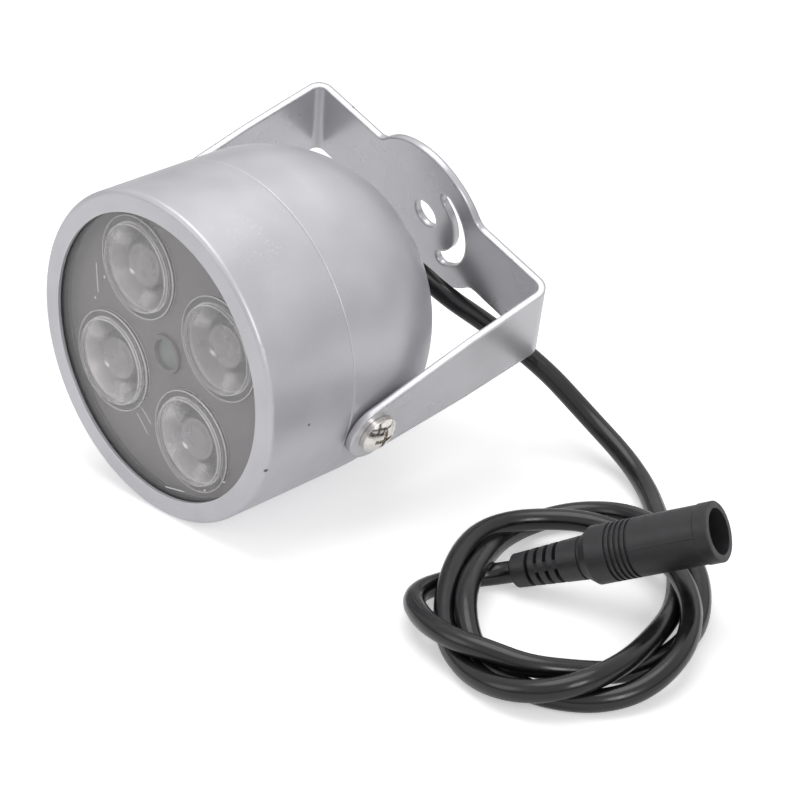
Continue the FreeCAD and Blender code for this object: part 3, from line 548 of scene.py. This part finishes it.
def make_materials():
    """Every slot's material, in place of the plain ones that the frame came with."""
    for plain in list(bpy.data.materials):
        bpy.data.materials.remove(plain)
    made = [
        shell_paint(),
        bracket_paint(),
        window_glass(),
        lens_acrylic(),
        plain_plastic("black_rubber", (0.02, 0.02, 0.02), 0.6),
        plain_plastic("mask_plate", (0.16, 0.152, 0.156), 0.5, varied=0.04),
        plain_plastic("white_board", (0.29, 0.28, 0.285), 0.4, varied=0.04),
        plain_plastic("cup_plastic", (0.6, 0.585, 0.595), 0.35, varied=0.04),
        plain_plastic("circuit_board", (0.03, 0.16, 0.07), 0.4),
        plain_plastic("emitter_body", (0.25, 0.243, 0.247), 0.45),
        plain_plastic("sensor_face", (0.16, 0.195, 0.18), 0.4),
        bare_metal("bare_aluminium", (0.75, 0.75, 0.76), 0.35),
        bare_metal("brass_posts", (0.72, 0.55, 0.28), 0.3),
        bare_metal("nickel_screw", (0.8, 0.77, 0.73), 0.12),
        plain_plastic("ferrite", (0.05, 0.05, 0.05), 0.5),
        plain_plastic("capacitor_sleeve", (0.02, 0.03, 0.08), 0.3),
        plain_plastic("chip_plastic", (0.02, 0.02, 0.02), 0.45),
        plain_plastic("wire_sleeve", (0.35, 0.02, 0.02), 0.4),
        cord_jacket(),
        socket_plastic(),
        bare_metal("contact_metal", (0.78, 0.76, 0.7), 0.2),
    ]
    return {material.name: material for material in made}


def dress_frame(materials):
    """Gives each CAD node the material of its slot in the record."""
    for part in frame["record"]["subparts"]:
        mesh = frame["nodes"][part["node"]].data
        mesh.materials.clear()
        mesh.materials.append(materials[part["material_slot"]])


def floor_white():
    """White that the camera, and less so mirrors, see brighter than its light makes it."""
    material, tree, shader = new_material("floor_white")
    tone = spread(tree, noise(tree, 300 * MM), 0.3, 0.7)
    path = add(tree, "LightPath")
    seen = math_node(tree, "MULTIPLY", path.outputs["Is Camera Ray"], FLOOR_GLOW)
    mirrored = math_node(tree, "MULTIPLY", path.outputs["Is Glossy Ray"], MIRRORED_GLOW)
    glow = math_node(tree, "MAXIMUM", seen, mirrored)
    shade(tree, shader, Base_Color=blend_colours(tree, tone, (0.9, 0.9, 0.9), (0.92, 0.92, 0.92)))
    shade(tree, shader, Roughness=0.9, Specular_IOR_Level=0.1)
    shade(tree, shader, Emission_Color=(1.0, 1.0, 1.0, 1.0), Emission_Strength=glow)
    return material


def make_floor():
    """A plain white floor, a hair below the part so that the two share no plane."""
    mesh = bpy.data.meshes.new("floor")
    form = bmesh.new()
    bmesh.ops.create_grid(form, x_segments=1, y_segments=1, size=FLOOR_HALF)
    form.to_mesh(mesh)
    form.free()
    mesh.materials.append(floor_white())
    floor = bpy.data.objects.new("floor", mesh)
    floor.location = (0.0, 0.0, -FLOOR_DROP)
    bpy.context.collection.objects.link(floor)


def make_lamp(name, place, size, power):
    """A soft round lamp that faces the part."""
    data = bpy.data.lights.new(name, "AREA")
    data.shape = "DISK"
    data.size = size
    data.energy = power
    lamp = bpy.data.objects.new(name, data)
    lamp.location = place
    lamp.rotation_mode = "QUATERNION"
    lamp.rotation_quaternion = (LAMP_AIM - Vector(place)).to_track_quat("-Z", "Y")
    bpy.context.collection.objects.link(lamp)


def world_strength(tree):
    """1 to the camera, also straight through glass. Reflections find a sky that is dim at the horizon,
    and the part is lit by WORLD_LIGHT."""
    heading = add(tree, "TexCoord").outputs["Generated"]
    up = add(tree, "SeparateXYZ", {0: heading}).outputs["Z"]
    sky = spread(tree, up, 0.0, SKY_HEIGHT, HORIZON_LIGHT, SKY_LIGHT)
    path = add(tree, "LightPath")
    through = path.outputs["Is Transmission Ray"]
    bounced = math_node(tree, "MINIMUM", path.outputs["Glossy Depth"], through)
    direct = math_node(tree, "SUBTRACT", through, bounced)
    straight = math_node(tree, "MAXIMUM", path.outputs["Is Camera Ray"], direct)
    reflected = math_node(tree, "MAXIMUM", path.outputs["Is Glossy Ray"], bounced)
    mirrored = math_node(tree, "MULTIPLY", reflected, sky)
    strength = math_node(tree, "MAXIMUM", straight, mirrored)
    lit = math_node(tree, "MULTIPLY", path.outputs["Is Diffuse Ray"], WORLD_LIGHT)
    return math_node(tree, "MAXIMUM", strength, lit)


def make_world():
    """A white world whose strength depends on the kind of ray."""
    world = bpy.data.worlds.new("studio")
    bpy.context.scene.world = world
    world.use_nodes = True
    tree = world.node_tree
    background = tree.nodes["Background"]
    set_input(tree, background.inputs["Color"], (1.0, 1.0, 1.0, 1.0))
    set_input(tree, background.inputs["Strength"], world_strength(tree))


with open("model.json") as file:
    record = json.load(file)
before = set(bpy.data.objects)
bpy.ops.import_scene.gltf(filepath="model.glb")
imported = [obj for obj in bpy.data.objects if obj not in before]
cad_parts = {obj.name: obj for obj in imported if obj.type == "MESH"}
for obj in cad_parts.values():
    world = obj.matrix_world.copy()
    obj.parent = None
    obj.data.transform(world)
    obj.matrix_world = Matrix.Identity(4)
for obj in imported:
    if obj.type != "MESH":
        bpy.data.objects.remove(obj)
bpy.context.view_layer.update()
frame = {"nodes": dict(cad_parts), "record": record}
make_camera()
materials = make_materials()
dress_frame(materials)

cord = make_cord()
cord.data.materials.append(materials["cord_jacket"])
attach(cord, "lamp_head")
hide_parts("cord_lead", "cord_coil")

make_floor()
make_world()
for lamp in LAMPS:
    make_lamp(*lamp)
bpy.context.scene.view_settings.view_transform = "Standard"
